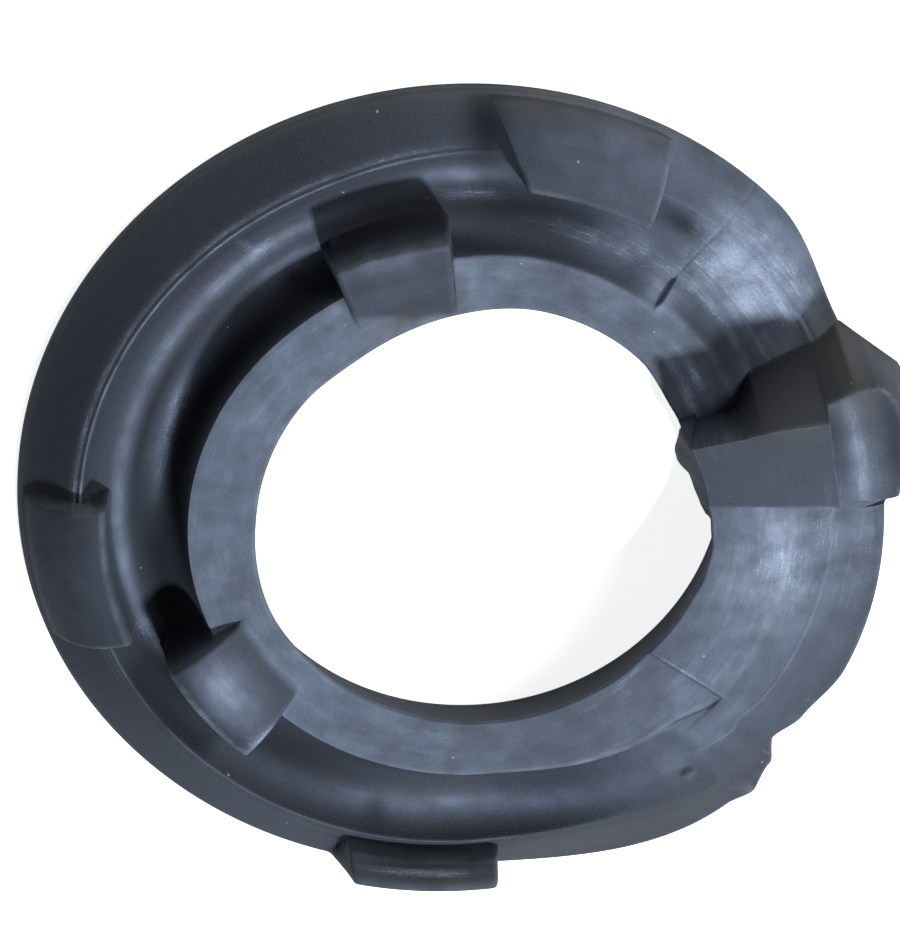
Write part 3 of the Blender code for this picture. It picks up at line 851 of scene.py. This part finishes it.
# %% Group: streaks rubbed along the ring
def streaks_group():
    group, given, out = new_group(
        "rubbed_streaks",
        [("Vector", VECTOR, None), ("Streaks Per Metre", FLOAT, 2600.0), ("Length", FLOAT, 0.06),
         ("Cover", FLOAT, 0.5)],
        [("Mask", FLOAT)])
    stretch = add(group, "ShaderNodeVectorMath", operation="MULTIPLY")
    join = add(group, "ShaderNodeCombineXYZ")
    group.links.new(given.outputs["Length"], join.inputs[0])
    join.inputs[1].default_value = 1.0
    join.inputs[2].default_value = 1.0
    group.links.new(given.outputs["Vector"], stretch.inputs[0])
    group.links.new(join.outputs[0], stretch.inputs[1])
    noise = add(group, "ShaderNodeTexNoise")
    noise.inputs["Detail"].default_value = 5.0
    noise.inputs["Roughness"].default_value = 0.62
    group.links.new(given.outputs["Streaks Per Metre"], noise.inputs["Scale"])
    group.links.new(stretch.outputs[0], noise.inputs["Vector"])
    low = maths(group, "SUBTRACT", 0.72, maths(group, "MULTIPLY", given.outputs["Cover"], 0.4))
    ramp = add(group, "ShaderNodeMapRange", interpolation_type="SMOOTHSTEP")
    group.links.new(noise.outputs["Fac"], ramp.inputs["Value"])
    group.links.new(low, ramp.inputs["From Min"])
    group.links.new(maths(group, "ADD", low, 0.16), ramp.inputs["From Max"])
    group.links.new(ramp.outputs["Result"], out.inputs["Mask"])
    return group


rubbed_streaks = streaks_group()
print("made", rubbed_streaks.name)

# %% Group: grain of the moulded skin
def grain_group():
    group, given, out = new_group(
        "moulded_grain",
        [("Vector", VECTOR, None), ("Fine Scale", FLOAT, 3000.0), ("Broad Scale", FLOAT, 190.0)],
        [("Fine", FLOAT), ("Broad", FLOAT)])
    for name, detail in (("Fine", 3.0), ("Broad", 4.0)):
        noise = add(group, "ShaderNodeTexNoise", label=name)
        noise.inputs["Detail"].default_value = detail
        group.links.new(given.outputs["Vector"], noise.inputs["Vector"])
        group.links.new(given.outputs[name + " Scale"], noise.inputs["Scale"])
        group.links.new(noise.outputs["Fac"], out.inputs[name])
    return group


moulded_grain = grain_group()
print("made", moulded_grain.name)

# %% Group: specks of dust
def specks_group():
    group, given, out = new_group(
        "dust_specks",
        [("Vector", VECTOR, None), ("Scale", FLOAT, 260.0), ("Size", FLOAT, 0.05)],
        [("Mask", FLOAT)])
    cells = add(group, "ShaderNodeTexVoronoi", feature="F1")
    group.links.new(given.outputs["Vector"], cells.inputs["Vector"])
    group.links.new(given.outputs["Scale"], cells.inputs["Scale"])
    split = add(group, "ShaderNodeSeparateColor")
    group.links.new(cells.outputs["Color"], split.inputs[0])
    chosen = maths(group, "GREATER_THAN", split.outputs[0], 0.72)
    limit = maths(group, "MULTIPLY", given.outputs["Size"], maths(group, "ADD", split.outputs[1], 0.4))
    dot = maths(group, "LESS_THAN", cells.outputs["Distance"], limit)
    group.links.new(maths(group, "MULTIPLY", chosen, dot), out.inputs["Mask"])
    return group


dust_specks = specks_group()
print("made", dust_specks.name)

# %% [markdown]
# ## The rubber
# Black rubber is never quite black. Its skin is satin, so it mirrors blurred lamps, and the
# bloom makes it grey-blue. The colour is a chain of mixes from the bare rubber up: bloom with
# painted light, brown, painted shade, scuffs with painted highlights broken up by streaks, a
# painted highlight on the edges with some wear, and dust. Roughness follows the same masks,
# because rubber with bloom shines more, and scuffed rubber and the painted shade less.

# %% Rubber material
BARE_RUBBER = (0.016, 0.019, 0.028, 1.0)
# Pale bluish colour of the bloom, which also stands in for painted light and sheen.
BLOOM_AND_LIGHT_COLOUR = (0.110, 0.140, 0.205, 1.0)
BROWN_COLOUR = (0.060, 0.055, 0.046, 1.0)
# Near-black colour of the painted shade.
PAINTED_SHADE_COLOUR = (0.004, 0.004, 0.006, 1.0)
# Near-white colour of the scuffs and the painted highlights.
SCUFF_AND_HIGHLIGHT_COLOUR = (0.420, 0.480, 0.600, 1.0)
# Colour of the painted highlight along convex edges.
EDGE_HIGHLIGHT_COLOUR = (0.200, 0.225, 0.270, 1.0)
DUST_COLOUR = (0.550, 0.570, 0.600, 1.0)
RUBBER_IOR = 1.52
BUMP_STRENGTH = 0.50
BUMP_HEIGHT = 0.00012


def use_group(tree, group, links=None, **values):
    node = add(tree, "ShaderNodeGroup", node_tree=group, label=group.name)
    for name, value in values.items():
        node.inputs[name.replace("_", " ")].default_value = value
    for name, socket in (links or {}).items():
        tree.links.new(socket, node.inputs[name])
    return node


def mixed(tree, share, under, over):
    node = add(tree, "ShaderNodeMix", data_type="RGBA")
    tree.links.new(share, node.inputs[0])
    for socket, value in ((node.inputs[6], under), (node.inputs[7], over)):
        if isinstance(value, tuple):
            socket.default_value = value
        else:
            tree.links.new(value, socket)
    return node.outputs[2]


def mask_from_mesh(tree, name):
    node = add(tree, "ShaderNodeAttribute", attribute_name=name)
    return node.outputs["Fac"]


def rubber_material():
    material = bpy.data.materials.new("worn_black_rubber")
    material.use_nodes = True
    tree = material.node_tree
    shader = tree.nodes["Principled BSDF"]
    place = use_group(tree, ring_coordinates)
    along, position = place.outputs["Along Across Up"], place.outputs["Position"]
    grain = use_group(tree, moulded_grain, {"Vector": position})
    fine, broad = grain.outputs["Fine"], grain.outputs["Broad"]
    streaks = {"Vector": along}
    thin = use_group(tree, rubbed_streaks, streaks, Streaks_Per_Metre=3600.0, Length=0.06, Cover=0.50)
    wide = use_group(tree, rubbed_streaks, streaks, Streaks_Per_Metre=520.0, Length=0.16, Cover=0.62)
    thin, wide = thin.outputs["Mask"], wide.outputs["Mask"]
    specks = use_group(tree, dust_specks, {"Vector": position}).outputs["Mask"]

    cloud = maths(tree, "MULTIPLY_ADD", broad, 1.9, -0.38, clamp=True)
    speckle = maths(tree, "MULTIPLY_ADD", fine, 3.0, -1.0, clamp=True)
    # The bloom mask, partly real bloom and partly painted light, turns the rubber towards the pale
    # colour.
    bloom_and_light = maths(tree, "MULTIPLY_ADD", wide, 0.20, 0.78)
    bloom_and_light = maths(tree, "MULTIPLY", mask_from_mesh(tree, "bloom_and_light"), bloom_and_light)
    bloom_and_light = maths(tree, "MULTIPLY", bloom_and_light, maths(tree, "ADD", cloud, 0.4), clamp=True)
    pale = maths(tree, "MULTIPLY_ADD", speckle, 0.16, bloom_and_light, clamp=True)
    colour = mixed(tree, pale, BARE_RUBBER, BLOOM_AND_LIGHT_COLOUR)
    brown = maths(tree, "MULTIPLY", mask_from_mesh(tree, "brown"), 0.8)
    colour = mixed(tree, brown, colour, BROWN_COLOUR)
    # Painted shade darkens the colour.
    painted_shade = maths(tree, "MULTIPLY", mask_from_mesh(tree, "painted_shade"), 0.85)
    colour = mixed(tree, painted_shade, colour, PAINTED_SHADE_COLOUR)
    # Scuffs and painted highlights, broken up by the thin streaks.
    rubbed_and_highlight = maths(tree, "MULTIPLY_ADD", thin, 0.80, 0.36)
    rubbed_and_highlight = maths(tree, "MULTIPLY", rubbed_and_highlight, maths(tree, "MULTIPLY_ADD", speckle, 0.9, 0.55))
    rubbed_and_highlight = maths(tree, "MULTIPLY", rubbed_and_highlight, cloud)
    rubbed_and_highlight = maths(tree, "MULTIPLY", mask_from_mesh(tree, "scuff_and_highlight"), rubbed_and_highlight, clamp=True)
    colour = mixed(tree, rubbed_and_highlight, colour, SCUFF_AND_HIGHLIGHT_COLOUR)
    # Convex edges get a painted highlight, with some wear.
    edge_highlight = maths(tree, "MULTIPLY", cloud, 0.50)
    edge_highlight = maths(tree, "MULTIPLY", mask_from_mesh(tree, "edge"), edge_highlight, clamp=True)
    colour = mixed(tree, edge_highlight, colour, EDGE_HIGHLIGHT_COLOUR)
    colour = mixed(tree, maths(tree, "MULTIPLY", specks, 0.35), colour, DUST_COLOUR)
    tree.links.new(colour, shader.inputs["Base Color"])

    rough = maths(tree, "MULTIPLY_ADD", bloom_and_light, -0.34, 0.74)
    rough = maths(tree, "MULTIPLY_ADD", rubbed_and_highlight, 0.05, rough)
    rough = maths(tree, "MULTIPLY_ADD", painted_shade, 0.26, rough)
    rough = maths(tree, "MULTIPLY_ADD", fine, 0.10, rough, clamp=True)
    tree.links.new(rough, shader.inputs["Roughness"])
    shader.inputs["IOR"].default_value = RUBBER_IOR

    height = maths(tree, "MULTIPLY_ADD", thin, 0.25, fine)
    height = maths(tree, "MULTIPLY_ADD", broad, 0.8, height)
    bump = add(tree, "ShaderNodeBump")
    bump.inputs["Strength"].default_value = BUMP_STRENGTH
    bump.inputs["Distance"].default_value = BUMP_HEIGHT
    tree.links.new(height, bump.inputs["Height"])
    tree.links.new(bump.outputs["Normal"], shader.inputs["Normal"])
    return material


ring_mesh.materials.append(rubber_material())
print("rubber nodes:", len(ring_mesh.materials[0].node_tree.nodes))

# %% [markdown]
# ## Floor and light
# The ring stands on a plain white floor. A small cool lamp stands high on the far side, close
# to where flat rubber mirrors it: that makes the plateau and the start sector bright and
# leaves every face that leans towards the camera dark. A larger, weaker lamp stands to the
# right, and a weak even world light fills the rest. The floor glows a little by itself, more
# for the camera than for the rubber, so the background is plain white.

# %% Floor
FLOOR_SIZE = 6.0
FLOOR_GAP = 0.0003
FLOOR_GLOW = 0.25                  # how much the floor glows by itself
FLOOR_GLOW_SEEN = 0.85             # and how much where the camera looks at it


def floor_material():
    material = bpy.data.materials.new("white_floor")
    material.use_nodes = True
    tree = material.node_tree
    shader = tree.nodes["Principled BSDF"]
    shader.inputs["Base Color"].default_value = (0.9, 0.9, 0.9, 1.0)
    shader.inputs["Roughness"].default_value = 0.9
    seen = add(tree, "ShaderNodeLightPath")
    shader.inputs["Emission Color"].default_value = (1.0, 1.0, 1.0, 1.0)
    more = FLOOR_GLOW_SEEN - FLOOR_GLOW
    glow = maths(tree, "MULTIPLY_ADD", seen.outputs["Is Camera Ray"], more, FLOOR_GLOW)
    tree.links.new(glow, shader.inputs["Emission Strength"])
    return material


bpy.ops.mesh.primitive_plane_add(size=FLOOR_SIZE, location=(0.0, 0.0, -FLOOR_GAP))
floor = bpy.context.object
floor.name = "floor"
floor.data.materials.append(floor_material())
print("floor", FLOOR_SIZE, "m across")

# %% Lamps and world
LAMPS = (
    # name, place, size, power, colour
    ("far_right_key", (0.27, -0.86, 1.22), 0.14, 30.0, (0.80, 0.90, 1.0)),
    ("right_fill", (1.30, 0.40, 1.10), 0.70, 18.0, (0.93, 0.96, 1.0)),
)
WORLD_LIGHT = 0.07                 # the camera sees the world as white, and it lights with this
for name, place, size, power, colour in LAMPS:
    lamp_data = bpy.data.lights.new(name, "AREA")
    lamp_data.shape = "SQUARE"
    lamp_data.size = size
    lamp_data.energy = power
    lamp_data.color = colour
    lamp = bpy.data.objects.new(name, lamp_data)
    lamp.location = place
    lamp.rotation_mode = "QUATERNION"
    lamp.rotation_quaternion = Vector(place).to_track_quat("Z", "Y")
    bpy.context.scene.collection.objects.link(lamp)
    print(name, power, "W")

world = bpy.data.worlds.new("even_light")
world.use_nodes = True
tree = world.node_tree
background = tree.nodes["Background"]
seen = add(tree, "ShaderNodeLightPath")
strength = maths(tree, "MULTIPLY_ADD", seen.outputs["Is Camera Ray"], 1.0 - WORLD_LIGHT, WORLD_LIGHT)
tree.links.new(strength, background.inputs["Strength"])
background.inputs["Color"].default_value = (1.0, 1.0, 1.0, 1.0)
bpy.context.scene.world = world
bpy.context.scene.view_settings.view_transform = "Standard"
print("world light", WORLD_LIGHT, "and seen as 1")
